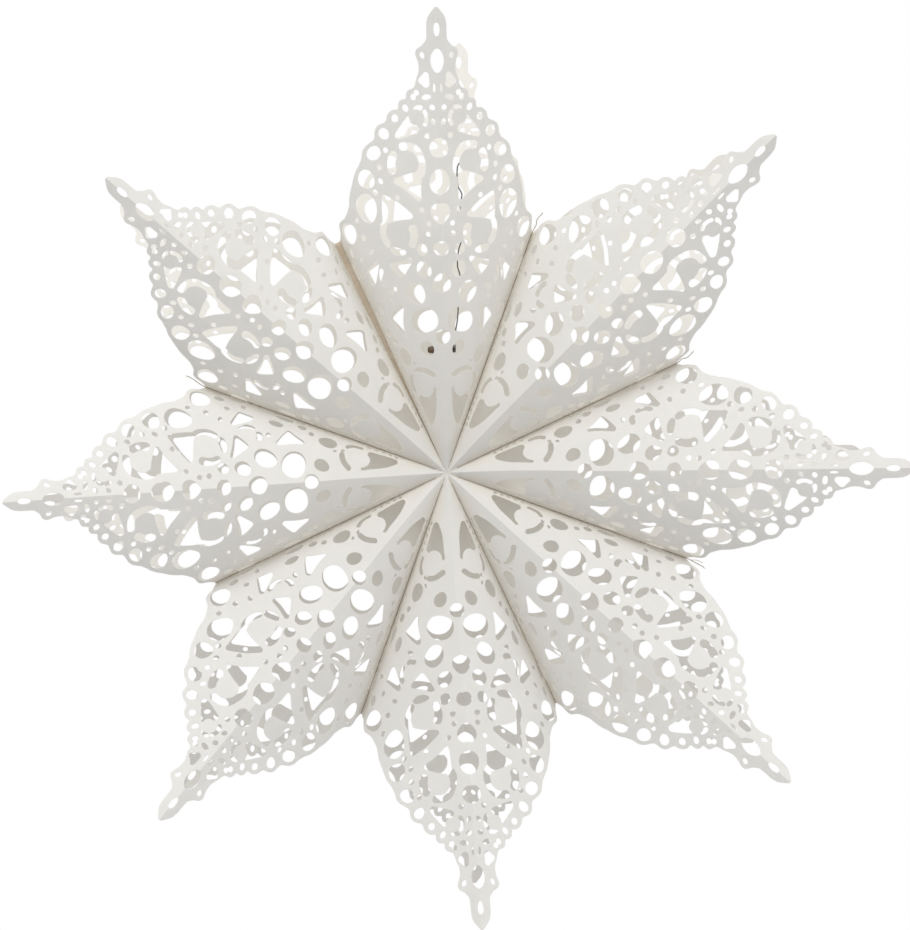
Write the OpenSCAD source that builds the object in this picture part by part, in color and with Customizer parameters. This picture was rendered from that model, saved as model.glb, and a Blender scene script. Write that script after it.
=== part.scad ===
// Folding paper snowflake star: eight hollow lace points glued side by side in a ring.
// It stands upright and faces -Y, with its first point straight up (+Z) and +X to the right.
// The origin is the centre of the star. All fold lines and seams run through that centre.
//
// Points are numbered clockwise from the top, 1 to 8. Point k lies between seam k - 1 and seam k.
// Seams 0 and 8 are the two end faces of the folding chain. They meet when the star is open.

/* [Star] */
// Width of the open star from tip to tip, seen from the front
star_span = 600; // [450:25:800]
// Share of a point's length, seen from the front, along which neighbours are glued
seam_share = 0.58; // [0.54:0.01:0.60]
// Angle at which the front and rear ridge folds rise out of the star's plane
ridge_rise = 18.5; // [15:0.5:21]

/* [Paper] */
// Thickness of one lace panel
paper_t = 0.4; // [0.3:0.1:0.5]
// Thickness of the two glued fold margins at a seam
margin_t = 0.6; // [0.5:0.1:0.8]
// Height of the glued fold margins, front to rear
margin_h = 2.4; // [2:0.2:3]
// Thickness of the brown closing strip between the two end faces
closing_t = 0.2; // [0.1:0.05:0.2]

/* [Thread and hanger] */
// Diameter of the cotton thread laid in each seam
thread_d = 0.8; // [0.6:0.1:0.9]
// Length of the loose thread end at a seam that shows one
tail_length = 14; // [8:1:18]
// Diameter of the dark hanging wire inside the top point
wire_d = 0.8; // [0.6:0.1:1.2]
// Diameter of the dark toggle that the wire is tied to
toggle_d = 5; // [3:0.5:6]
// Length of the toggle
toggle_length = 18; // [12:1:18]

/* [Hidden] */
points = 8;
half_turn = 180 / points; // angle between a point's ridge and its seams, seen from the front
lace = star_span / 600; // the lace is laid out for a 600 mm star and grows with it
tip_length = star_span / 2 / cos(ridge_rise); // along the ridge fold
seam_length = seam_share * star_span / 2;
wedge = acos(cos(half_turn) * cos(ridge_rise)); // flat angle of a panel, ridge to seam
tilt = acos(tan(half_turn) / tan(wedge)); // angle of an open panel to the star's plane

hinge_offset = 1.0; // a panel's hinge line stands this far from the middle of its seam
hinge_margin = 1.0; // a panel starts this far from its hinge line
ridge_gap = 0.8; // between the two panels of a folded sheet
panel_start = 11; // panels, margins and threads keep clear of the centre
margin_start = 9;
round = 48; // segments of a full circle

// Holes on the ridge fold, half in each panel: place along the ridge, radius
fold_holes = [[301, 4], [279, 5], [286, 5], [225, 6], [205, 6.5], [199, 6.5], [181, 6.5],
    [158, 5], [134, 6.5], [96, 5]];

// Round holes along the scalloped edge: along the ridge, away from it, radius
edge_holes = [[283, 8.5, 2], [256, 16, 2], [249, 22.5, 2.2], [242, 29, 2.2], [231, 35.5, 4],
    [218, 44.5, 4.6], [200.5, 51, 6.5], [181, 51.5, 8], [160.5, 67, 7.5]];

// Round holes inside the panel
field_holes = [[184, 13, 2], [173, 9, 2], [165, 9, 2], [251, 5, 2], [221, 36, 2], [209, 38, 2],
    [199, 37.5, 2], [160, 52, 2], [151, 47, 2], [120, 35, 2], [88, 34.5, 2], [231, 8, 2],
    [155, 17, 4], [142, 13, 5], [125, 18, 7], [107, 13, 8], [87, 11, 5], [113, 42, 3.5],
    [77, 26, 5], [83, 28, 5], [268, 9, 3]];

// Discs held by three webs in a ring-shaped gap: along, away, disc radius, ring radius, turn
medallions = [[244, 16, 5, 7.5, 80], [214, 23, 7.5, 10.5, 20], [165, 30, 8.5, 12.5, 50],
    [134, 36, 5.5, 8.5, 10], [61, 14, 7, 9.5, 70]];
web_w = 3;
lobe_rim = 3; // paper left round each edge hole

// Three-cornered holes
triangles = [
    [[229, 16], [233, 28], [222, 32]],
    [[189, 13], [202, 13], [199, 29]],
    [[182, 23], [191, 38], [182, 36]],
    [[146, 47], [137, 54], [127, 49]],
    [[118, 28], [97, 26], [105, 36]],
    [[28, 6], [50, 8], [46, 17]],
];

tailed_seams = [1, 2, 3, 7]; // seams whose thread ends hang out
hanger_start = 84 * lace; // from the centre up to the toggle
hanger_depth = 8 * lace; // the toggle lies this far in front of the star's plane
hanger_length = 118 * lace;
hanger_lean = 9; // the wire leans to the front by this angle
hanger_side = 3; // and to the right by this one
hook_r = 3;

paper_white = [0.95, 0.94, 0.91];
paper_rear = [0.92, 0.91, 0.88];
kraft_brown = [0.62, 0.45, 0.27];
thread_grey = [0.62, 0.58, 0.52];
dark_steel = [0.15, 0.14, 0.14];
dark_wood = [0.20, 0.14, 0.10];

// ---- flat lace, with the ridge along +X and the panel above it ----

module at_places(list) {
    for (p = list) translate([p[0], p[1]] * lace) circle(r = p[2] * lace, $fn = round);
}

module medallion_gap(m) {
    translate([m[0], m[1]] * lace) rotate(m[4]) difference() {
        circle(r = m[3] * lace, $fn = round);
        circle(r = m[2] * lace, $fn = round);
        for (turn = [0, 120, 240]) rotate(turn)
            translate([0, -web_w / 2 * lace]) square([20, web_w] * lace);
    }
}

module panel_outline() {
    polygon([
        [0, 0],
        [seam_length * cos(wedge), seam_length * sin(wedge)],
        [161, 76] * lace, [182, 64] * lace, [200, 61] * lace, [218, 51.5] * lace,
        [231, 43] * lace, [241, 34] * lace, [249, 26] * lace, [257, 19.5] * lace, [268, 14] * lace,
        [284, 11.5] * lace, [296, 5] * lace, [tip_length, 1.5 * lace], [tip_length, 0],
    ]);
    for (p = edge_holes) translate([p[0], p[1]] * lace)
        circle(r = (p[2] + lobe_rim) * lace, $fn = round);
}

module lace_panel() {
    difference() {
        panel_outline();
        for (p = fold_holes) translate([p[0] * lace, 0]) circle(r = p[1] * lace, $fn = round);
        at_places(edge_holes);
        at_places(field_holes);
        for (m = medallions) medallion_gap(m);
        for (t = triangles) polygon(t * lace);
    }
}

// The part of the seam's side plane that one panel may fill: X along the seam, Y to the ridge
module panel_field() {
    edge_shift = (hinge_offset + ridge_gap / 2 / cos(half_turn)) / cos(tilt);
    reach = tip_length + 20;
    polygon([
        [panel_start, hinge_margin],
        [reach, hinge_margin],
        [reach, reach * tan(wedge) - edge_shift],
        [panel_start, panel_start * tan(wedge) - edge_shift],
    ]);
}

module flat_panel() {
    linear_extrude(height = paper_t, center = true) intersection() {
        panel_field();
        rotate(wedge) mirror([0, 1]) lace_panel();
    }
}

// ---- placing panels round the star ----

// The right-hand panel of a point that stands straight up; face is 1 at the front, -1 at the rear
module right_panel(face) {
    rotate([0, half_turn, 0]) translate([-hinge_offset, 0, 0])
        rotate([0, 0, 90 + face * tilt]) rotate([0, -90, 0]) flat_panel();
}

function point_turn(k) = (k - 1) * 2 * half_turn;
function seam_turn(k) = (2 * k - 1) * half_turn;

module front_right_panel(k) {
    color(paper_white) rotate([0, point_turn(k), 0]) right_panel(1);
}

module front_left_panel(k) {
    color(paper_white) rotate([0, point_turn(k), 0]) mirror([1, 0, 0]) right_panel(1);
}

module rear_right_panel(k) {
    color(paper_rear) rotate([0, point_turn(k), 0]) right_panel(-1);
}

module rear_left_panel(k) {
    color(paper_rear) rotate([0, point_turn(k), 0]) mirror([1, 0, 0]) right_panel(-1);
}

// ---- seams ----

// A strip of paper along seam k, from x0 to x1 across the seam
module seam_strip(k, x0, x1) {
    rotate([0, seam_turn(k), 0]) translate([x0, -margin_h / 2, margin_start])
        cube([x1 - x0, margin_h, seam_length - margin_start]);
}

module glued_margin(k) {
    color(paper_rear) seam_strip(k, -margin_t / 2, margin_t / 2);
}

module first_end_margin() {
    color(paper_rear) seam_strip(0, closing_t / 2, margin_t / 2);
}

module last_end_margin() {
    color(paper_rear) seam_strip(points, -margin_t / 2, -closing_t / 2 - 0.05);
}

module closing_strip() {
    color(kraft_brown) seam_strip(0, -closing_t / 2, closing_t / 2);
}

// The thread lies in the front of the seam, and at a tailed seam it runs on past the outer end
module seam_thread(k) {
    start = panel_start + 2;
    tail = len(search(k, tailed_seams)) > 0 ? tail_length : 0;
    color(thread_grey) rotate([0, seam_turn(k), 0])
        translate([0, -margin_h / 2 - thread_d / 2, start])
            cylinder(d = thread_d, h = seam_length - start + tail, $fn = 32);
}

// ---- hanger inside the top point ----

module at_toggle() {
    translate([0, -hanger_depth, hanger_start]) children();
}

module hanger_wire() {
    color(dark_steel) at_toggle() translate([toggle_length / 2 - 1.5, 0, toggle_d / 2])
        rotate([hanger_lean, hanger_side, 0]) {
            cylinder(d = wire_d, h = hanger_length, $fn = 32);
            translate([hook_r, 0, hanger_length]) rotate([90, 0, 0])
                rotate_extrude(angle = 180, $fn = 48)
                    translate([hook_r, 0]) circle(d = wire_d, $fn = 32);
        }
}

module hanger_toggle() {
    color(dark_wood) at_toggle()
        rotate([0, 90, 0]) cylinder(d = toggle_d, h = toggle_length, center = true, $fn = 48);
}

for (k = [1 : points]) {
    front_left_panel(k);
    front_right_panel(k);
    rear_left_panel(k);
    rear_right_panel(k);
}
for (k = [1 : points - 1]) {
    glued_margin(k);
    seam_thread(k);
}
first_end_margin();
last_end_margin();
closing_strip();
hanger_wire();
hanger_toggle();
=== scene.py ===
"""Paper snowflake star, the looks: sixteen folded lace sheets glued in a ring, with the seams, threads,
closing strip and hanger between them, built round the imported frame.

A sheet is drawn flat in millimetres, with its ridge fold along +x and y away from the fold, cut out,
and then bent into a cone whose rulings all run through the centre of the star.
"""

import math
import random

import bpy
import numpy as np
from mathutils import Matrix, Vector, noise
from mathutils.geometry import delaunay_2d_cdt


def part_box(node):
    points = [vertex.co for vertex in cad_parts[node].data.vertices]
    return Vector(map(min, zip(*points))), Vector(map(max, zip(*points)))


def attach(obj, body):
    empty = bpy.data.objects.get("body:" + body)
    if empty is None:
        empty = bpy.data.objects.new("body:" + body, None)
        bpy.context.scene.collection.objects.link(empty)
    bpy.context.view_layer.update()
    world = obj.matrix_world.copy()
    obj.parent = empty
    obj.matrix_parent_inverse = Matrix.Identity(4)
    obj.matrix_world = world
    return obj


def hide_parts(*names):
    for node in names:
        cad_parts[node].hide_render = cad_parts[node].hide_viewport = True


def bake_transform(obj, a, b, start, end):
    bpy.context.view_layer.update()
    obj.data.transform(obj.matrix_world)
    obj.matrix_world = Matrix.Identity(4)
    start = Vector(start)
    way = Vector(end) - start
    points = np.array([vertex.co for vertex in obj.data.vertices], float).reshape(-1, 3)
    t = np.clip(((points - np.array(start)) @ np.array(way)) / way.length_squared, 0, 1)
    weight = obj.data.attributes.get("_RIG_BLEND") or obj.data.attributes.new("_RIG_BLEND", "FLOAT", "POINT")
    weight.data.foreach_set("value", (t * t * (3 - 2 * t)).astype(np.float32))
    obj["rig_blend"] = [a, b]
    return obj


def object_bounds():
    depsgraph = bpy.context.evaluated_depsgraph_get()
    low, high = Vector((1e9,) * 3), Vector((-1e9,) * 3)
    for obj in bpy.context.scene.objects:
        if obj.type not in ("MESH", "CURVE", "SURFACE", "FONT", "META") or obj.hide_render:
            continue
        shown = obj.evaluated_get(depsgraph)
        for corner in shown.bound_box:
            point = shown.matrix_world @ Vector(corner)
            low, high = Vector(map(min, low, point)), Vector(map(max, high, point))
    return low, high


MM = 0.001
POINTS = 8
STEP_TURN = 360 / POINTS
HALF_TURN = STEP_TURN / 2

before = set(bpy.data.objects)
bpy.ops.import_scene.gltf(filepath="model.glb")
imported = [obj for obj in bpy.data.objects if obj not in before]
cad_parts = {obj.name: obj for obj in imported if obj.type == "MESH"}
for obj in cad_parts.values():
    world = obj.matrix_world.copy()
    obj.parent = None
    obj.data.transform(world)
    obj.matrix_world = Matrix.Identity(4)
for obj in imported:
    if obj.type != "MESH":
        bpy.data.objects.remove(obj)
cad_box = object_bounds()

TIP_RADIUS = cad_box[1].z / MM          # 300 mm, from the centre to a tip, seen from the front
RIDGE_RISE = 18.5                       # degrees, of the ridge folds out of the star's plane
RIDGE_LENGTH = TIP_RADIUS / math.cos(math.radians(RIDGE_RISE))
SEAM_LENGTH = 174.0                     # mm, from the centre to a seam's outer end
PAPER_T = 0.35


# ---- the lace, drawn flat: distances in millimetres, negative inside a shape ----

def circle(x, y, radius):
    """The distance function of a round hole; the others below give theirs in the same way."""
    return lambda px, py: np.hypot(px - x, py - y) - radius


def oval(x, y, length, width, turn=0.0):
    """An ellipse of that length and width; length lies along the fold if turn is 0."""
    c, s = math.cos(math.radians(turn)), math.sin(math.radians(turn))
    a, b = length / 2, width / 2

    def distance(px, py):
        u, v = (px - x) * c + (py - y) * s, (py - y) * c - (px - x) * s
        near = np.hypot(u / a, v / b)
        steep = np.hypot(u / a ** 2, v / b ** 2) + 1e-9
        return near * (near - 1) / steep

    return distance


def arc_slot(x, y, radius, width, start, end):
    """A slot with round ends that runs round (x, y) from the angle start to the angle end."""
    middle, half = math.radians((start + end) / 2), math.radians((end - start) / 2)

    def distance(px, py):
        dx, dy = px - x, py - y
        angle = (np.arctan2(dy, dx) - middle + math.pi) % (2 * math.pi) - math.pi
        angle = np.clip(angle, -half, half) + middle
        return np.hypot(dx - radius * np.cos(angle), dy - radius * np.sin(angle)) - width / 2

    return distance


def inset(points, by):
    """The polygon moved inwards by that distance on every side."""
    pts = [Vector(p) for p in points]
    area = sum(a.x * b.y - b.x * a.y for a, b in zip(pts, pts[1:] + pts[:1]))
    way = 1 if area > 0 else -1
    out = []
    for a, b, c in zip(pts[-1:] + pts[:-1], pts, pts[1:] + pts[:1]):
        d0, d1 = (b - a).normalized(), (c - b).normalized()
        n0, n1 = Vector((-d0.y, d0.x)) * way, Vector((-d1.y, d1.x)) * way
        out.append(b + (n0 + n1) * by / (1 + n0.dot(n1)))
    return out


def patch(points, rounding=2.0):
    """A polygon with rounded corners."""
    corners = np.array([tuple(p) for p in inset(points, rounding)])

    def distance(px, py):
        best, inside = np.full(px.shape, 1e9), np.zeros(px.shape, bool)
        for a, b in zip(corners, np.roll(corners, -1, 0)):
            side, away_x, away_y = b - a, px - a[0], py - a[1]
            t = np.clip((away_x * side[0] + away_y * side[1]) / (side @ side), 0, 1)
            best = np.minimum(best, np.hypot(away_x - side[0] * t, away_y - side[1] * t))
            level = (a[1] > py) != (b[1] > py)
            inside ^= level & (px < side[0] * (py - a[1]) / (side[1] + 1e-12) + a[0])
        return np.where(inside, -best, best) - rounding

    return distance


# Holes cut across the ridge fold: place, length, width
FOLD_HOLES = [(301.5, 9, 4.8), (281, 16, 8), (225, 12.5, 12.5), (202.5, 17, 15.5), (181.5, 13.5, 13.5),
              (158.5, 10, 10), (134.5, 13.5, 13.5), (97, 10, 10)]

# Holes along the scalloped edge, each in its own lobe: place, length, width
EDGE_HOLES = [(284, 9.5, 4, 3.5), (257, 16.2, 4, 4), (249.5, 22.8, 4.5, 4.5), (242, 30, 5, 4.5),
              (231.5, 37.5, 7.5, 8), (218.5, 45.5, 10, 9.5), (201, 52, 13, 13), (181.5, 52, 19, 16),
              (161, 69, 16, 15)]
LOBE_RIM = 2.9          # the paper left round such a hole

SMALL_HOLES = [(221, 37.5), (209.5, 41), (201, 41), (161, 56), (152, 49.5), (184, 13), (174, 9), (167, 9),
               (250, 3.5), (241, 3.5), (231.5, 8.5), (121, 36.5), (89, 36.5), (190, 30), (240, 23),
               (260, 14), (172, 61), (193, 46), (145, 60), (132, 62)]

# Place and radius
ROUND_HOLES = [(156, 13, 4), (143, 13, 5.3), (126, 18.5, 7.3), (107.5, 13, 9.2), (87.5, 11, 5)]

# Place, length, width, turn
OVAL_HOLES = [(113, 45, 10, 6, 20), (80, 28, 14, 8, 25), (263, 2.7, 6, 2.2, 0), (257, 7.5, 4, 6, 0),
              (250, 13.5, 4, 7.5, 10), (154.5, 31, 5.5, 12, 0), (128, 36, 5.3, 7.5, 0),
              (104, 52, 12, 6, 28), (132, 71, 12, 7, 30), (146, 71, 7, 6, 0), (94, 43, 7, 4.5, 25)]

# Slots that run round a disc: centre, radius, width, from angle to angle
ARC_SLOTS = [(243.5, 15.5, 7.3, 3.2, 230, 300),
             (214, 23, 10.5, 5.6, 60, 118), (214, 23, 11, 5.8, -62, 10), (214, 23, 11, 5.4, 232, 286),
             (165.5, 29.5, 11.5, 5, 60, 130), (165.5, 29.5, 11.3, 5.4, 240, 300),
             (134.7, 37, 7, 3.4, 55, 125),
             (61, 14, 10.6, 3.0, 62, 118), (61, 14, 11, 3.8, -34, 20)]

# Three-cornered holes, and the paper discs (place, radius) that reach into the holes round them
PATCHES = [((261, 6), (277, 6.5), (268, 14.5)),
           ((246.5, 21), (228, 32), (234, 12.5)),
           ((202, 34), (209, 13.5), (188, 12)),
           ((194.5, 42), (171, 40), (179, 17.5)),
           ((148, 42), (137, 58), (124, 51)),
           ((145, 38), (152, 19), (135, 27)),
           ((119, 28), (94, 27), (105, 39.5)),
           ((64, 4), (52, 20.5), (28, 8.8))]
SMALL_R = 1.9
DISCS = [(244, 15.4, 5.3), (214, 23, 7.4), (165.5, 29.5, 8.6), (134.7, 37, 5.3), (61, 14, 7.4)]

# Rows of pinholes on the steep part: from place to place, how many
PINHOLE_ROWS = [((33, 13.5), (50, 24), 5), ((72, 37), (92, 47), 5), ((98, 58), (122, 66), 5),
                ((64, 20), (76, 21), 3)]
PINHOLE = (3.2, 1.7)

HAND_CUT = 0.7          # mm by which the cuts stray from their drawn lines
REAR_HOLES_FROM = 95    # the rear sheets are left uncut nearer the centre than this
REAR_STEEP_FROM = 21.5  # and where they stand steeply beside a seam, from this flat angle on

# The sheet's edge from its seam corner to the tip, between the lobes, and the tip's own lobes
EDGE_LINE = [(161, 78.5), (182, 66), (200, 62), (218, 52), (231, 43.5), (241, 34), (249, 25.8),
             (257, 19.3), (266, 14.2), (284, 12), (294, 7.5), (308, 5.2), (RIDGE_LENGTH, 0.8)]
TIP_LOBES = [(301, 0, 21, 15), (280, 0, 28, 24), (267, 10, 13, 10)]
LOBE_BLEND = 2.0


def outline(px, py, seam_corner):
    """Distance to the outer shape of half a sheet: its body, the lobes of the edge and those of the tip.
    The body also reaches past the fold, so that the fold itself isn't an edge."""
    body = patch([(-3, -12), (-3, 0), (0, 0), seam_corner, *EDGE_LINE, (RIDGE_LENGTH, -12)], 0.4)(px, py)
    lobes = [oval(x, y, a + 2 * LOBE_RIM, b + 2 * LOBE_RIM) for x, y, a, b in EDGE_HOLES]
    lobes += [oval(*lobe) for lobe in TIP_LOBES]
    for lobe in lobes:
        body = smooth_union(body, lobe(px, py), LOBE_BLEND)
    return body


def smooth_union(a, b, k):
    """The union of two shapes with their joins rounded over about that distance."""
    h = np.clip(0.5 + 0.5 * (b - a) / k, 0, 1)
    return b + (a - b) * h - k * h * (1 - h)


def paper_field(px, py, seam_corner, holes_from):
    """How far inside the paper a flat place is; negative in the holes and outside the sheet. Holes nearer
    the centre than holes_from are left out, and on a rear sheet those on its steep part too."""
    steepest = 90 if holes_from == 0 else REAR_STEEP_FROM

    def kept(x, y):
        return x > holes_from and math.degrees(math.atan2(y, x)) < steepest

    off_fold = np.minimum(py / 4, 1)
    px, py = (px + HAND_CUT * np.sin(py / 4.3 + px / 11) * off_fold,
              py + HAND_CUT * np.sin(px / 5.1 - py / 9) * off_fold)
    holes = [oval(x, 0, a, b) for x, a, b in FOLD_HOLES]
    holes += [oval(x, y, a, b) for x, y, a, b in EDGE_HOLES]
    holes += [circle(x, y, SMALL_R) for x, y in SMALL_HOLES if kept(x, y)]
    holes += [circle(x, y, r) for x, y, r in ROUND_HOLES if kept(x, y)]
    holes += [oval(*h) for h in OVAL_HOLES if kept(h[0], h[1])]
    holes += [arc_slot(*s) for s in ARC_SLOTS if s[0] > holes_from]
    holes += [patch(p) for p in PATCHES if p[0][0] > holes_from]
    for a, b, count in PINHOLE_ROWS if holes_from == 0 else []:
        for i in range(count):
            t = i / (count - 1)
            x, y = a[0] + (b[0] - a[0]) * t, a[1] + (b[1] - a[1]) * t
            holes.append(oval(x, y, *PINHOLE, math.degrees(math.atan2(b[1] - a[1], b[0] - a[0]))))
    inside = -outline(px, py, seam_corner)
    for hole in holes:
        inside = np.minimum(inside, hole(px, py))
    for x, y, r in DISCS:
        inside = np.maximum(inside, -circle(x, y, r)(px, py))
    return inside


def contour_loops(field, x0, y0, cell):
    """Closed loops along which the field is zero, by marching squares."""
    ends = {}
    inside = field > 0
    code = (inside[:-1, :-1] * 1 + inside[1:, :-1] * 2 + inside[1:, 1:] * 4 + inside[:-1, 1:] * 8)
    # for each case, the cell sides that a line joins: 0 low y, 1 high x, 2 high y, 3 low x
    cases = {1: [(3, 0)], 2: [(0, 1)], 3: [(3, 1)], 4: [(1, 2)], 5: [(3, 0), (1, 2)], 6: [(0, 2)],
             7: [(3, 2)], 8: [(2, 3)], 9: [(2, 0)], 10: [(0, 1), (2, 3)], 11: [(2, 1)], 12: [(1, 3)],
             13: [(1, 0)], 14: [(0, 3)]}

    def side_key(i, j, side):
        return [(i, j, 0), (i + 1, j, 1), (i, j + 1, 0), (i, j, 1)][side]

    def crossing(key):
        i, j, upright = key
        k, m = (i, j + 1) if upright else (i + 1, j)
        a, b = field[i, j], field[k, m]
        t = a / (a - b)
        return (x0 + (i + (k - i) * t) * cell, y0 + (j + (m - j) * t) * cell)

    for i, j in zip(*np.nonzero((code > 0) & (code < 15))):
        for s, e in cases[int(code[i, j])]:
            ends[side_key(i, j, s)] = side_key(i, j, e)
    loops = []
    while ends:
        start, key = ends.popitem()
        loop = [crossing(start)]
        while key != start:
            loop.append(crossing(key))
            key = ends.pop(key)
        loops.append(np.array(loop))
    return loops


def simplified(loop, tolerance):
    """The closed loop with points dropped that lie within the tolerance of the line."""
    n = len(loop)
    far = int(np.argmax(np.hypot(*(loop - loop[0]).T)))
    keep, stack = {0, far}, [(0, far), (far, n)]
    while stack:
        a, b = stack.pop()
        if b - a < 2:
            continue
        p, q = loop[a], loop[b % n]
        d = q - p
        mid = loop[a + 1:b]
        off = np.abs((mid[:, 0] - p[0]) * d[1] - (mid[:, 1] - p[1]) * d[0]) / (np.hypot(*d) + 1e-12)
        k = int(np.argmax(off))
        if off[k] > tolerance:
            keep.add(a + 1 + k)
            stack += [(a, a + 1 + k), (a + 1 + k, b)]
    return loop[sorted(keep)]


def bend_tables(ridge_slope=22.0, seam_slope=77.0, power=2.0, steps=400):
    """Azimuth and rise of the bent sheet for each flat angle from its ridge, in degrees. The sheet leaves
    the ridge at one slope and meets the seam at a steeper one. Its flat angle is the one that spans half
    a point."""
    t = np.linspace(0, 1, steps + 1)
    slope = np.radians(ridge_slope + (seam_slope - ridge_slope) * t ** power)
    low, high = HALF_TURN, 45.0
    for _ in range(50):
        flat = (low + high) / 2
        da = flat / steps
        rise = np.zeros(steps + 1)
        rise[:-1] = np.cumsum(((np.sin(slope[1:]) + np.sin(slope[:-1])) / 2 * da)[::-1])[::-1]
        level = np.cos(np.radians((rise[1:] + rise[:-1]) / 2))
        turn = np.concatenate([[0], np.cumsum((np.cos(slope[1:]) + np.cos(slope[:-1])) / 2 * da / level)])
        low, high = (low, flat) if turn[-1] > HALF_TURN else (flat, high)
    return flat * t, turn, rise


FLAT_ANGLES, TURNS, RISES = bend_tables()
SHEET_ANGLE = FLAT_ANGLES[-1]           # degrees from the ridge to the seam on the flat sheet
CELL = 0.55                             # mm, of the grid on which the lace is traced
SHEET_REACH = 95                        # mm, the widest that half a sheet may be
LINE_SLACK = 0.07                       # mm by which a traced line may be simplified
MESH_PITCH = 5.5                        # mm between the points inside the paper
MESH_JITTER = 0.8
RIDGE_STEP = 5.0


def flat_lace(holes_from):
    """The cut-out sheet as a flat triangle mesh: places and triangles."""
    corner = (SEAM_LENGTH * math.cos(math.radians(SHEET_ANGLE)),
              SEAM_LENGTH * math.sin(math.radians(SHEET_ANGLE)))
    nx, ny = int((RIDGE_LENGTH + 8) / CELL), int(SHEET_REACH / CELL)
    x0 = -3.0
    gx, gy = np.meshgrid(x0 + np.arange(nx) * CELL, np.arange(ny) * CELL, indexing="ij")
    half = paper_field(gx, gy, corner, holes_from)
    field = np.concatenate([half[:, :0:-1], half], axis=1) + 1e-6
    y0 = -(ny - 1) * CELL
    places, edges = [], []
    for loop in contour_loops(field, x0, y0, CELL):
        loop = simplified(loop, LINE_SLACK)
        if len(loop) < 5:
            continue
        first = len(places)
        places += [tuple(p) for p in loop]
        edges += [(first + i, first + (i + 1) % len(loop)) for i in range(len(loop))]
    first = len(places)
    ridge = list(np.arange(-2.0, RIDGE_LENGTH + 3, RIDGE_STEP))
    places += [(x, 0.0) for x in ridge]
    edges += [(first + i, first + i + 1) for i in range(len(ridge) - 1)]
    random.seed(11)
    rows = int(90 / MESH_PITCH)
    for i in range(int(RIDGE_LENGTH / MESH_PITCH) + 1):
        for j in range(-rows, rows + 1):
            x = (i + 0.5 * (j % 2)) * MESH_PITCH + random.uniform(-MESH_JITTER, MESH_JITTER)
            y = j * MESH_PITCH + random.uniform(-MESH_JITTER, MESH_JITTER)
            a, b = int(round((x - x0) / CELL)), int(round((y - y0) / CELL))
            if abs(y) > 2 and 0 <= a < nx and 0 <= b < field.shape[1] and field[a, b] > 1.3:
                places.append((x, y))
    verts, _, faces, *_ = delaunay_2d_cdt([Vector(p) for p in places], edges, [], 0, 1e-4)
    verts = np.array([tuple(v) for v in verts])
    faces = np.array(faces)
    # keep the triangles whose middle lies in the paper, and drop slivers
    middle = verts[faces].mean(1)
    a = np.clip((middle[:, 0] - x0) / CELL, 0, nx - 1.001)
    b = np.clip((middle[:, 1] - y0) / CELL, 0, field.shape[1] - 1.001)
    i, j, s, t = a.astype(int), b.astype(int), a % 1, b % 1
    value = (field[i, j] * (1 - s) * (1 - t) + field[i + 1, j] * s * (1 - t)
             + field[i, j + 1] * (1 - s) * t + field[i + 1, j + 1] * s * t)
    tri = verts[faces]
    size = np.abs(np.cross(tri[:, 1] - tri[:, 0], tri[:, 2] - tri[:, 0])) / 2
    faces = faces[(value > 0) & (size > 1e-5)]
    used = np.unique(faces)
    renumber = np.full(len(verts), -1)
    renumber[used] = np.arange(len(used))
    return verts[used], renumber[faces]


# ---- bending a sheet into place ----

# How each point differs from the even star: turn of the front ridge, turn of the rear one against it
# (clockwise, degrees), and how much longer its tip is, for points 1 to 8
FRONT_TURNS = [0.8, 1.4, 2.0, 0.2, -0.8, -1.6, -0.5, -1.5]
REAR_TURNS = [4.6, -1.0, -1.4, -1.3, -1.0, -1.2, -1.4, -1.0]
TIP_GROWTHS = [0.018, 0.023, 0.013, -0.002, -0.007, -0.017, -0.022, -0.009]
REAR_TIP_LOSS = 0.012   # the share by which the rear tips are shorter than the front ones

# How the paper buckles, most at the tips: size across and height of the waves, in mm
BUCKLES = ((95, 4.2), (38, 1.3))
CRINKLE = (15, 0.35)

# Each effect grows from nothing to full between two distances from the centre, in mm
TURN_RANGE = (0, 120)
GROWTH_RANGE = (120, 300)
BUCKLE_RANGE = (50, 230)
CRINKLE_RANGE = (20, 120)
SPREAD_RANGE = (20, 150)

# Half the width of a seam, in mm. The closing one opens by CLOSING_SPREAD on its way outwards
SEAM_GAP = 0.25
CLOSING_GAP = 0.4
CLOSING_SPREAD = 1.9
GLUE_REACH = 25         # mm from a seam within which the sheet follows it


def smooth(x, a, b):
    """0 below a, 1 above b, and an even rise between."""
    t = np.clip((x - a) / (b - a), 0, 1)
    return t * t * (3 - 2 * t)


def wave(x, y, seed, scale):
    """Smooth noise on the flat sheet, about -1 to 1."""
    return np.array([noise.noise(Vector((a / scale, b / scale, seed))) for a, b in zip(x, y)])


def spread(reach):
    """How far the closing seam has opened at that distance from the centre, in mm a side."""
    return CLOSING_SPREAD * smooth(reach, *SPREAD_RANGE)


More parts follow.
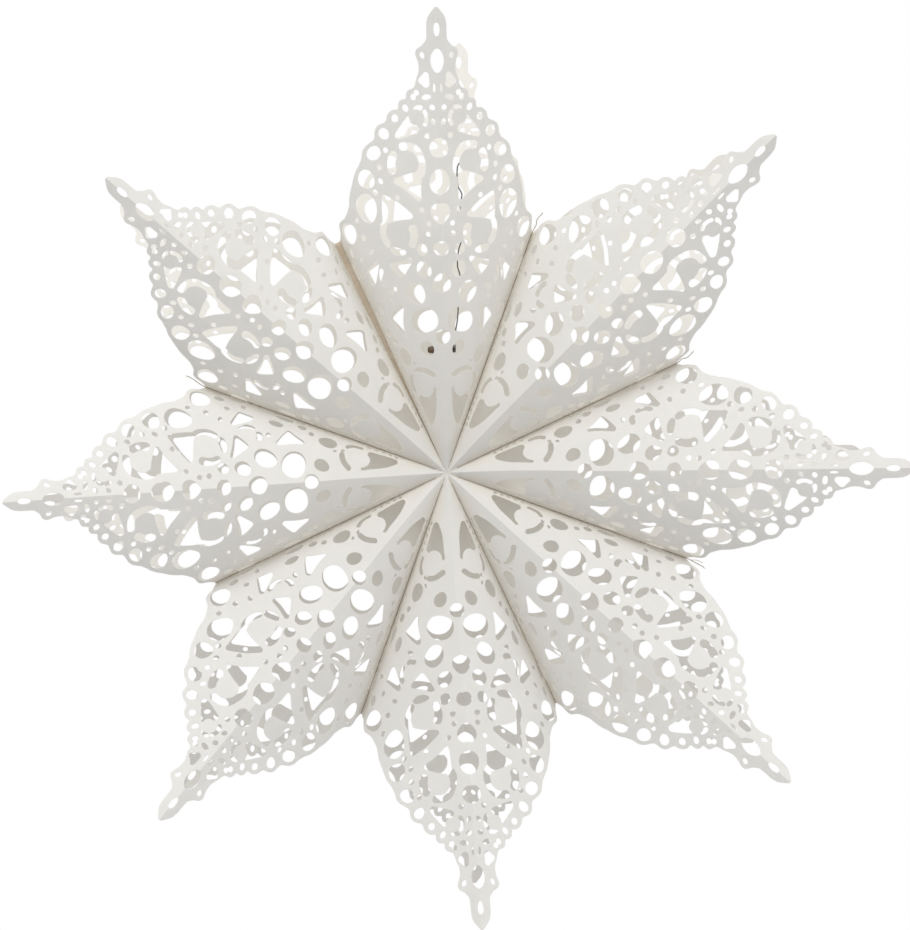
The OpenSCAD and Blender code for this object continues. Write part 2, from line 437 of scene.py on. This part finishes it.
def bent(x, y, point, face):
    """Flat places of one sheet to the star's frame, in metres, and how near each is to its seam, 0 to 1.
    face is 1 at the front and -1 at the rear."""
    reach = np.hypot(x, y)
    flat = np.degrees(np.arctan2(np.abs(y), x))
    side = np.sign(y)
    turn, rise = np.interp(flat, FLAT_ANGLES, TURNS), np.interp(flat, FLAT_ANGLES, RISES)
    free = 1 - (turn / HALF_TURN) ** 2
    seed = point * 3.7 + (face + 1) * 17.3
    bend = FRONT_TURNS[point - 1] + (REAR_TURNS[point - 1] if face < 0 else 0)
    azimuth = np.radians((point - 1) * STEP_TURN + side * turn + bend * free * smooth(reach, *TURN_RANGE))
    growth = TIP_GROWTHS[point - 1] - (REAR_TIP_LOSS if face < 0 else 0)
    reach = reach * (1 + growth * free * smooth(x, *GROWTH_RANGE))
    up = np.radians(rise)
    out = np.stack([np.sin(azimuth) * np.cos(up), -face * np.sin(up), np.cos(azimuth) * np.cos(up)], 1)
    lift = np.stack([-np.sin(azimuth) * np.sin(up), -face * np.cos(up), -np.cos(azimuth) * np.sin(up)], 1)
    outer = smooth(reach, *BUCKLE_RANGE) * free
    (wide, high), (narrow, low) = BUCKLES
    warp = (wave(x, y, seed, wide) * high + wave(x, y, seed + 5, narrow) * low) * outer
    warp = warp + wave(x, y, seed + 9, CRINKLE[0]) * CRINKLE[1] * smooth(reach, *CRINKLE_RANGE) * free
    place = out * reach[:, None] + lift * warp[:, None]
    # the seam edge stands off the middle of the seam, and more at the closing seam
    seam = np.where(side > 0, point, point - 1) % POINTS
    gap = np.where(seam == 0, CLOSING_GAP + spread(reach), SEAM_GAP)
    off_seam = reach * np.radians(SHEET_ANGLE - np.minimum(flat, SHEET_ANGLE))
    near = (1 - smooth(off_seam, 0, GLUE_REACH)) * (side != 0)
    tangent = np.radians((point - 1) * STEP_TURN + side * HALF_TURN)
    shift = -side * gap * near * smooth(reach, 2, 15)
    place[:, 0] += np.cos(tangent) * shift
    place[:, 2] -= np.sin(tangent) * shift
    place[:, 1] -= face * 0.3 * near
    return place * MM, near


def fold_share(x, y):
    """0 on the seam before the point and 1 on the seam after it, in step with the azimuth."""
    flat = np.degrees(np.arctan2(np.abs(y), x))
    turn = np.interp(flat, FLAT_ANGLES, TURNS)
    return np.clip(0.5 + np.sign(y) * turn / STEP_TURN, 0, 1)


def edge_flags(mesh, flat):
    """Which edges are sharp: the cut edges and the ridge fold."""
    count = np.zeros(len(mesh.edges), int)
    loops = np.zeros(len(mesh.loops), np.int32)
    mesh.loops.foreach_get("edge_index", loops)
    np.add.at(count, loops, 1)
    pairs = np.zeros(len(mesh.edges) * 2, np.int32)
    mesh.edges.foreach_get("vertices", pairs)
    pairs = pairs.reshape(-1, 2)
    on_ridge = (np.abs(flat[pairs[:, 0], 1]) < 1e-3) & (np.abs(flat[pairs[:, 1], 1]) < 1e-3)
    return (count == 1) | on_ridge


def lace_sheet(point, face, flat, faces, material):
    """One folded sheet, bent into place, which stretches between the folds before and after its point."""
    label = "front" if face > 0 else "rear"
    name = f"{label}_sheet_{point}"
    x, y = flat[:, 0], flat[:, 1]
    place, near = bent(x, y, point, face)
    mesh = bpy.data.meshes.new(name)
    order = faces if face > 0 else faces[:, ::-1]
    mesh.from_pydata(place.tolist(), [], order.tolist())
    mesh.polygons.foreach_set("use_smooth", [True] * len(mesh.polygons))
    mesh.edges.foreach_set("use_edge_sharp", edge_flags(mesh, flat).tolist())
    corners = np.zeros(len(mesh.loops), np.int32)
    mesh.loops.foreach_get("vertex_index", corners)
    # each sheet has its own part of the paper's grain
    shifted = flat / 100 + (point * 5.0, face * 3.0)
    mesh.uv_layers.new(name="flat").data.foreach_set("uv", shifted[corners].astype(np.float32).ravel())
    mesh.attributes.new("near_seam", "FLOAT", "POINT").data.foreach_set("value", near.astype(np.float32))
    mesh.materials.append(material)
    sheet = bpy.data.objects.new(name, mesh)
    bpy.context.scene.collection.objects.link(sheet)
    before, after = f"seam_{point - 1}", f"seam_{point}"
    turn = math.radians((point - 1) * STEP_TURN)
    across = Vector((math.cos(turn), 0, -math.sin(turn)))
    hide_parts(f"{label}_left_panel_{point}", f"{label}_right_panel_{point}")
    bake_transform(sheet, before, after, start=tuple(-across), end=tuple(across))
    share = fold_share(x, y).astype(np.float32)
    mesh.attributes["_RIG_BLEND"].data.foreach_set("value", share)
    thick = sheet.modifiers.new("paper", "SOLIDIFY")
    thick.thickness = PAPER_T * MM
    thick.offset = -1
    return sheet


# ---- materials ----

FRONT_PAPER = (0.955, 0.94, 0.905)
REAR_PAPER = (0.955, 0.935, 0.89)
PAPER_GLOW = 0.40       # the share of light that goes through the paper
CLOUD_SHADE = 0.955     # how much darker the paper's clouds are
FLECK_COLOUR = (0.80, 0.74, 0.62)
FLECK_RANGE = (0.62, 0.78)
FLECK_AMOUNT = 0.10
# Painted shade: the paper is tinted darker and browner towards each seam, standing in for the shade deep in
# the folds
SEAM_SHADE_COLOUR = (0.90, 0.84, 0.72)
SEAM_SHADE_AMOUNT = 0.6
SEAM_SHADE_FALL = 2.5         # how fast the painted seam shade fades away from a seam


def new_material(name):
    """A material with its node tree and its main shader."""
    material = bpy.data.materials.new(name)
    material.use_nodes = True
    tree = material.node_tree
    shader = tree.nodes["Principled BSDF"]
    return material, tree, shader


def add_node(tree, kind, links=(), **values):
    """A node with its properties and input values set, and its inputs linked."""
    made = tree.nodes.new(kind)
    for key, value in values.items():
        if hasattr(made, key):
            setattr(made, key, value)
        else:
            made.inputs[key.replace("_", " ")].default_value = value
    for name, output in dict(links).items():
        tree.links.new(output, made.inputs[name])
    return made


def paper_material(name, colour):
    """Soft paper with clouds, flecks and fibres, darkened towards brown beside the seams by painted shade,
    that lets light through.
    """
    material, tree, shader = new_material(name)
    links = tree.links
    uv = add_node(tree, "ShaderNodeUVMap", uv_map="flat").outputs[0]
    cloud = add_node(tree, "ShaderNodeTexNoise", {"Vector": uv}, Scale=5.0, Detail=4.0)
    speck = add_node(tree, "ShaderNodeTexNoise", {"Vector": uv}, Scale=70.0, Detail=2.0)
    stretch = add_node(tree, "ShaderNodeMapping", {"Vector": uv})
    stretch.inputs["Scale"].default_value = (30, 140, 1)
    stretch.inputs["Rotation"].default_value = (0, 0, 0.5)
    fibre = add_node(tree, "ShaderNodeTexNoise", {"Vector": stretch.outputs[0]}, Scale=1.0, Detail=5.0)
    seam = add_node(tree, "ShaderNodeAttribute", attribute_name="near_seam")
    tint = add_node(tree, "ShaderNodeMix", data_type="RGBA")
    tint.inputs["A"].default_value = (*[c * CLOUD_SHADE for c in colour], 1)
    tint.inputs["B"].default_value = (*colour, 1)
    links.new(cloud.outputs["Fac"], tint.inputs["Factor"])
    flecks = add_node(tree, "ShaderNodeMapRange", {"Value": speck.outputs["Fac"]})
    flecks.inputs["From Min"].default_value, flecks.inputs["From Max"].default_value = FLECK_RANGE
    flecks.inputs["To Max"].default_value = FLECK_AMOUNT
    dotted = add_node(tree, "ShaderNodeMix", {"Factor": flecks.outputs[0]}, data_type="RGBA")
    links.new(tint.outputs["Result"], dotted.inputs["A"])
    dotted.inputs["B"].default_value = (*FLECK_COLOUR, 1)
    # painted shade: the paper colour is mixed patchily towards a darker brown near the seams, and glued holds
    # the result
    close = add_node(tree, "ShaderNodeMath", {0: seam.outputs["Fac"]}, operation="POWER")
    close.inputs[1].default_value = SEAM_SHADE_FALL
    patchy = add_node(tree, "ShaderNodeMath", {0: close.outputs[0], 1: cloud.outputs["Fac"]},
                      operation="MULTIPLY")
    amount = add_node(tree, "ShaderNodeMath", {0: patchy.outputs[0]}, operation="MULTIPLY")
    amount.inputs[1].default_value = SEAM_SHADE_AMOUNT
    glued = add_node(tree, "ShaderNodeMix", {"Factor": amount.outputs[0]}, data_type="RGBA")
    links.new(dotted.outputs["Result"], glued.inputs["A"])
    glued.inputs["B"].default_value = (*SEAM_SHADE_COLOUR, 1)
    links.new(glued.outputs["Result"], shader.inputs["Base Color"])
    shader.inputs["Roughness"].default_value = 0.85
    shader.inputs["Specular IOR Level"].default_value = 0.25
    height = add_node(tree, "ShaderNodeMath", {0: fibre.outputs["Fac"], 1: speck.outputs["Fac"]},
                      operation="ADD")
    bump = add_node(tree, "ShaderNodeBump", {"Height": height.outputs[0]}, Strength=0.35)
    bump.inputs["Distance"].default_value = 0.00025
    links.new(bump.outputs[0], shader.inputs["Normal"])
    through = add_node(tree, "ShaderNodeBsdfTranslucent", {"Color": glued.outputs["Result"]})
    mix = add_node(tree, "ShaderNodeMixShader")
    mix.inputs[0].default_value = PAPER_GLOW
    links.new(shader.outputs[0], mix.inputs[1])
    links.new(through.outputs[0], mix.inputs[2])
    links.new(mix.outputs[0], tree.nodes["Material Output"].inputs["Surface"])
    return material


def plain_material(name, colour, roughness, grain_scale, vary):
    """A simple finish: colour that varies a little, and a fine bump."""
    material, tree, shader = new_material(name)
    place = add_node(tree, "ShaderNodeTexCoord").outputs["Object"]
    grain = add_node(tree, "ShaderNodeTexNoise", {"Vector": place}, Scale=grain_scale, Detail=4.0)
    shade = add_node(tree, "ShaderNodeMix", {"Factor": grain.outputs["Fac"]}, data_type="RGBA")
    shade.inputs["A"].default_value = (*[c * (1 - vary) for c in colour], 1)
    shade.inputs["B"].default_value = (*[min(1, c * (1 + vary)) for c in colour], 1)
    tree.links.new(shade.outputs["Result"], shader.inputs["Base Color"])
    bump = add_node(tree, "ShaderNodeBump", {"Height": grain.outputs["Fac"]}, Strength=0.4)
    bump.inputs["Distance"].default_value = 0.0002
    tree.links.new(bump.outputs[0], shader.inputs["Normal"])
    shader.inputs["Roughness"].default_value = roughness
    return material


# ---- seams, threads, strip and hanger ----

SEAM_START = 4.0        # mm, from the centre to the inner end of the margins
MARGIN_H = 2.4
MARGIN_T = 0.28
THREAD_R = 0.38
STRIP_STEPS = 60
STRIP_GAP = 0.35        # half the closing strip's room at the centre
STRIP_T = 0.2

# Loose thread ends past the outer end of their seam: each run starts at the seam's end, x across, y to the
# rear, z outwards. A second run makes a forked end.
TAILS = {1: [[(0, -0.3, 0), (0.8, -1.2, 5), (0.2, -1.6, 9), (2.2, -2.4, 14)]],
         2: [[(0, -0.3, 0), (-1.2, -1.0, 4), (-0.6, -1.4, 8), (-2.4, -1.8, 13)]],
         3: [[(0, -0.3, 0), (0.8, -1.0, 6), (1.8, -1.6, 13)],
             [(0.2, -0.6, 3), (-1.0, -1.6, 7), (-0.6, -2.2, 11)]],
         7: [[(0, -0.3, 0), (1.0, -1.0, 5), (2.2, -1.4, 9), (3.0, -2.2, 14)]]}


def mesh_object(name, places, faces, material, rounded=True):
    """An object from places and faces, in the scene."""
    mesh = bpy.data.meshes.new(name)
    mesh.from_pydata([tuple(p) for p in places], [], [tuple(f) for f in faces])
    mesh.polygons.foreach_set("use_smooth", [rounded] * len(mesh.polygons))
    mesh.materials.append(material)
    made = bpy.data.objects.new(name, mesh)
    bpy.context.scene.collection.objects.link(made)
    return made


def joined(parts):
    """One list of places and faces from several."""
    places, faces = [], []
    for more, rings in parts:
        faces += [tuple(i + len(places) for i in f) for f in rings]
        places += [tuple(p) for p in more]
    return places, faces


def ring_faces(rings, sides):
    """The side faces of a tube whose places come as rings of that many."""
    faces = []
    for k in range(rings - 1):
        for i in range(sides):
            j = (i + 1) % sides
            faces.append((k * sides + i, k * sides + j, (k + 1) * sides + j, (k + 1) * sides + i))
    return faces


def swept(path, radius, sides):
    """A round tube along the path, closed at both ends."""
    path = [Vector(p) for p in path]
    along = [(b - a).normalized() for a, b in zip([path[0]] + path[:-1], path[1:] + [path[-1]])]
    along[0], along[-1] = (path[1] - path[0]).normalized(), (path[-1] - path[-2]).normalized()
    normal = along[0].orthogonal().normalized()
    places = []
    for p, d in zip(path, along):
        normal = (normal - d * normal.dot(d)).normalized()
        other = d.cross(normal)
        for i in range(sides):
            a = 2 * math.pi * i / sides
            places.append(p + (normal * math.cos(a) + other * math.sin(a)) * radius)
    faces = ring_faces(len(path), sides)
    faces.append(tuple(range(sides - 1, -1, -1)))
    faces.append(tuple((len(path) - 1) * sides + i for i in range(sides)))
    return places, faces


def smooth_path(points, step):
    """Points along a Catmull-Rom curve through the given ones, about that far apart."""
    pts = [Vector(p) for p in points]
    pts = [2 * pts[0] - pts[1]] + pts + [2 * pts[-1] - pts[-2]]
    out = []
    for a, b, c, d in zip(pts, pts[1:], pts[2:], pts[3:]):
        count = max(2, int((c - b).length / step))
        for i in range(count):
            t = i / count
            out.append(0.5 * (2 * b + (c - a) * t + (2 * a - 5 * b + 4 * c - d) * t ** 2
                              + (3 * b - a - 3 * c + d) * t ** 3))
    return out + [pts[-2]]


def at_seam(places, seam):
    """From a seam's own place, x across it, y to the rear and z along it in mm, to the star's frame."""
    turn = Matrix.Rotation(math.radians((seam - 0.5) * STEP_TURN), 3, "Y")
    return [turn @ Vector(p) * MM for p in places]


def plied(path, radius, pitch):
    """A thread of two plies twisted round each other along the path."""
    path = [Vector(p) for p in path]
    parts = []
    for start in (0, math.pi):
        run, ply = 0.0, []
        for i, p in enumerate(path):
            d = (path[min(i + 1, len(path) - 1)] - path[max(i - 1, 0)]).normalized()
            run += (p - path[i - 1]).length if i else 0
            side = d.cross(Vector((0.2, 1, 0.1))).normalized()
            other = d.cross(side)
            a = start + 2 * math.pi * run / pitch
            ply.append(p + (side * math.cos(a) + other * math.sin(a)) * radius * 0.5)
        parts.append(swept(ply, radius * 0.55, 6))
    return joined(parts)


def strip_plate(low_side, seed):
    """A thin plate along a seam, with slightly uneven edges. low_side gives the x at which the plate
    begins, for each distance from the centre."""
    places = []
    for i in range(STRIP_STEPS + 1):
        z = SEAM_START + (SEAM_LENGTH - SEAM_START) * i / STRIP_STEPS
        low = -MARGIN_H / 2 - noise.noise(Vector((z / 9, seed, 0))) * 0.25
        high = MARGIN_H / 2 + noise.noise(Vector((z / 7, seed, 5))) * 0.3
        x = low_side(z) + noise.noise(Vector((z / 25, seed, 9))) * 0.08
        places += [(x, low, z), (x + MARGIN_T, low, z), (x + MARGIN_T, high, z), (x, high, z)]
    faces = ring_faces(STRIP_STEPS + 1, 4)
    faces += [(3, 2, 1, 0), tuple(STRIP_STEPS * 4 + i for i in range(4))]
    return places, faces


def closing_gap(z):
    """Half the width of the closing strip's room, at that distance from the centre."""
    return STRIP_GAP + float(spread(z))


def thread_parts(k):
    """The thread of seam k: two plies along the seam, a fork where it has one, and frayed hairs."""
    random.seed(k)
    run = [(random.uniform(-0.12, 0.12), -MARGIN_H / 2 - THREAD_R - 0.05 + random.uniform(-0.1, 0.1), z)
           for z in range(8, int(SEAM_LENGTH), 12)]
    end = Vector((0, -MARGIN_H / 2 - THREAD_R, SEAM_LENGTH))
    tails = TAILS.get(k, [])
    first = [tuple(end + Vector(p)) for p in tails[0]] if tails else [tuple(end)]
    parts = [plied(smooth_path(run + first, 0.5), THREAD_R, 2.6)]
    for tail in tails[1:]:
        parts.append(swept(smooth_path([end + Vector(p) for p in tail], 0.5), THREAD_R * 0.5, 6))
    for hair in range(3 if tails else 0):
        foot = Vector(first[-1]) - Vector((0, 0, hair * 0.6))
        lean = Vector((random.uniform(-1.2, 1.2), random.uniform(-0.8, 0.8), random.uniform(0.5, 2)))
        path = smooth_path([foot, foot + lean * 0.5 + Vector((0.2, 0, 0)), foot + lean], 0.3)
        parts.append(swept(path, 0.09, 5))
    return parts


def seams(margin, cotton, kraft):
    """The glued margins with their threads, the two end margins, and the strip between those."""
    for k in range(1, POINTS):
        places, faces = joined([strip_plate(lambda z: 0.02, k), strip_plate(lambda z: -0.30, k + 20)])
        strip = mesh_object(f"seam_margin_{k}", at_seam(places, k), faces, margin, rounded=False)
        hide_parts(f"glued_margin_{k}")
        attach(strip, f"seam_{k}")
        places, faces = joined(thread_parts(k))
        thread = mesh_object(f"cotton_thread_{k}", at_seam(places, k), faces, cotton)
        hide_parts(f"seam_thread_{k}")
        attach(thread, f"seam_{k}")
    for name, node, body, side in (("first_margin", "first_end_margin", "seam_0", 1),
                                   ("last_margin", "last_end_margin", f"seam_{POINTS}", -1)):
        places, faces = strip_plate(lambda z: side * (closing_gap(z) + 0.15) - 0.14, side + 40)
        strip = mesh_object(name, at_seam(places, 0), faces, margin, rounded=False)
        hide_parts(node)
        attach(strip, body)
    closing_strip(kraft)


def closing_strip(kraft):
    """A band of brown gummed paper, creased along its middle, that fills the wider closing seam."""
    across = 8
    places, faces = [], []
    for i in range(STRIP_STEPS + 1):
        z = SEAM_START + 2 + (SEAM_LENGTH - SEAM_START - 3) * i / STRIP_STEPS
        wide = closing_gap(z) - 0.06
        for j in range(across + 1):
            u = 2 * j / across - 1
            dent = noise.noise(Vector((z / 12, u, 3))) * 0.25
            places.append((u * wide, -0.5 + 0.9 * (1 - abs(u)) + dent, z))
    row = across + 1
    for i in range(STRIP_STEPS):
        for j in range(across):
            faces.append((i * row + j, i * row + j + 1, (i + 1) * row + j + 1, (i + 1) * row + j))
    strip = mesh_object("kraft_strip", at_seam(places, 0), faces, kraft)
    thick = strip.modifiers.new("paper", "SOLIDIFY")
    thick.thickness = STRIP_T * MM
    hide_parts("closing_strip")
    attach(strip, "seam_0")


# The hanging wire's run from the toggle up to its hook, in mm
WIRE_ROUTE = [(7.5, -8, 84), (8.5, -9, 90), (11.5, -10, 100), (13, -12, 112), (12.5, -13, 124),
              (15.2, -15, 132), (13.8, -16, 140), (15, -17, 150), (17.6, -19, 158), (14.8, -20, 164),
              (18.2, -21, 170), (17.4, -23, 180), (18.8, -24, 187), (16.4, -25, 193), (16.2, -26, 202),
              (17.2, -27, 207), (19.6, -27.5, 208.5), (21.2, -27.5, 206), (21.2, -27.2, 203.5)]
WIRE_R = 0.42
TIE_R = 2.4             # of the three turns of wire round the toggle
TIE_MIDDLE = (7.0, -8, 84)

# The toggle's outline: radius, and place along it
TOGGLE_SHAPE = [(0, -9), (1.4, -8.9), (2.1, -8.2), (2.4, -6.5), (2.5, -1.2), (1.9, -0.8), (1.9, 0.8),
                (2.5, 1.2), (2.4, 6.5), (2.1, 8.2), (1.4, 8.9), (0, 9)]
TOGGLE_SIDES = 32


def hanger(dark_wire, dark_wood):
    """The wire from its hook down to the toggle, and the toggle that it is tied round."""
    tie_x, tie_y, tie_z = TIE_MIDDLE
    turns = [(tie_x + 0.5 * a / math.pi, tie_y + TIE_R * math.sin(a), tie_z + TIE_R * math.cos(a))
             for a in np.linspace(0, 6 * math.pi, 60)]
    places, faces = joined([swept(smooth_path(WIRE_ROUTE, 0.8), WIRE_R, 8),
                            swept(turns, WIRE_R * 0.9, 8)])
    wire = mesh_object("dark_wire", [Vector(p) * MM for p in places], faces, dark_wire)
    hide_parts("hanger_wire")
    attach(wire, "hanger")
    low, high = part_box("hanger_toggle")
    middle = (low + high) / 2 / MM
    places = []
    for r, x in TOGGLE_SHAPE:
        for i in range(TOGGLE_SIDES):
            a = 2 * math.pi * i / TOGGLE_SIDES
            places.append(middle + Vector((x, max(r, 0.01) * math.cos(a), max(r, 0.01) * math.sin(a))))
    faces = ring_faces(len(TOGGLE_SHAPE), TOGGLE_SIDES)
    toggle = mesh_object("wooden_toggle", [Vector(p) * MM for p in places], faces, dark_wood)
    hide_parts("hanger_toggle")
    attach(toggle, "hanger")


front_paper = paper_material("front_lace_paper", FRONT_PAPER)
rear_paper = paper_material("rear_lace_paper", REAR_PAPER)

front_lace, rear_lace = flat_lace(0), flat_lace(REAR_HOLES_FROM)
for number in range(1, POINTS + 1):
    lace_sheet(number, 1, *front_lace, front_paper)
    lace_sheet(number, -1, *rear_lace, rear_paper)
seams(plain_material("glued_paper", (0.74, 0.68, 0.58), 0.8, 300, 0.12),
      plain_material("twisted_cotton", (0.52, 0.46, 0.38), 0.9, 900, 0.25),
      plain_material("brown_gummed_paper", (0.56, 0.47, 0.36), 0.7, 250, 0.15))
hanger(plain_material("dark_lacquered_wire", (0.07, 0.062, 0.055), 0.35, 400, 0.2),
       plain_material("dark_stained_wood", (0.13, 0.085, 0.055), 0.55, 160, 0.35))


# ---- floor, light and camera ----

FLOOR_PLACE = (0, -8.35, -1.0)
FLOOR_SCALE = (40, 23.3, 1)
FLOOR_COLOUR = (0.48, 0.48, 0.50, 1)
SURROUND = 0.85         # strength of the even light from all round, which the camera doesn't see
KEY = ((-0.35, -1.0, 1.25), 1.0, 10)    # place, size and power
FILL = ((1.6, -1.0, 0.25), 1.0, 4.5)

CAMERA_LENS = 136.5
CAMERA_DISTANCE = 2.4
CAMERA_TARGET = Vector((0.006, 0, 0.005))
CAMERA_SIDE, CAMERA_RISE, CAMERA_ROLL = (math.radians(a) for a in (-2.5, 1.0, 2.9))
CAMERA_BACK = Vector((math.sin(CAMERA_SIDE), -math.cos(CAMERA_SIDE), math.sin(CAMERA_RISE)))
CAMERA_PLACE = CAMERA_TARGET + CAMERA_BACK.normalized() * CAMERA_DISTANCE


def stage():
    """A grey floor well below the star."""
    bpy.ops.mesh.primitive_plane_add(size=1, location=FLOOR_PLACE)
    floor = bpy.context.object
    floor.name = "floor"
    floor.scale = FLOOR_SCALE
    material, _, shader = new_material("grey_floor")
    shader.inputs["Base Color"].default_value = FLOOR_COLOUR
    shader.inputs["Roughness"].default_value = 0.7
    floor.data.materials.append(material)


def area_light(name, place, size, power):
    """A round lamp that faces the star's centre."""
    light = bpy.data.lights.new(name, "AREA")
    light.shape = "DISK"
    light.size = size
    light.energy = power
    made = bpy.data.objects.new(name, light)
    bpy.context.scene.collection.objects.link(made)
    made.location = place
    made.rotation_euler = (-Vector(place)).to_track_quat("-Z", "Y").to_euler()


def lighting():
    """A plain white backdrop for the camera, an even surround for the star, and two lamps."""
    world = bpy.data.worlds.new("studio")
    bpy.context.scene.world = world
    world.use_nodes = True
    tree = world.node_tree
    tree.nodes.clear()
    path = tree.nodes.new("ShaderNodeLightPath")
    seen = add_node(tree, "ShaderNodeBackground", Strength=1.0)
    seen.inputs["Color"].default_value = (1, 1, 1, 1)
    lit = add_node(tree, "ShaderNodeBackground", Strength=SURROUND)
    lit.inputs["Color"].default_value = (0.98, 0.99, 1, 1)
    mix = tree.nodes.new("ShaderNodeMixShader")
    tree.links.new(path.outputs["Is Camera Ray"], mix.inputs[0])
    tree.links.new(lit.outputs[0], mix.inputs[1])
    tree.links.new(seen.outputs[0], mix.inputs[2])
    out = tree.nodes.new("ShaderNodeOutputWorld")
    tree.links.new(mix.outputs[0], out.inputs["Surface"])
    area_light("key", *KEY)
    area_light("fill", *FILL)


def camera():
    """The camera in front of the star, a little to its left and above, and rolled."""
    data = bpy.data.cameras.new("camera")
    data.lens = CAMERA_LENS
    data.sensor_width = 36
    data.clip_end = 50
    made = bpy.data.objects.new("camera", data)
    bpy.context.scene.collection.objects.link(made)
    made.location = CAMERA_PLACE
    aim = (-CAMERA_BACK).to_track_quat("-Z", "Y").to_matrix().to_4x4()
    made.rotation_mode = "QUATERNION"
    made.rotation_quaternion = (aim @ Matrix.Rotation(-CAMERA_ROLL, 4, "Z")).to_quaternion()
    bpy.context.scene.camera = made


stage()
lighting()
camera()
bpy.context.scene.view_settings.view_transform = "Standard"
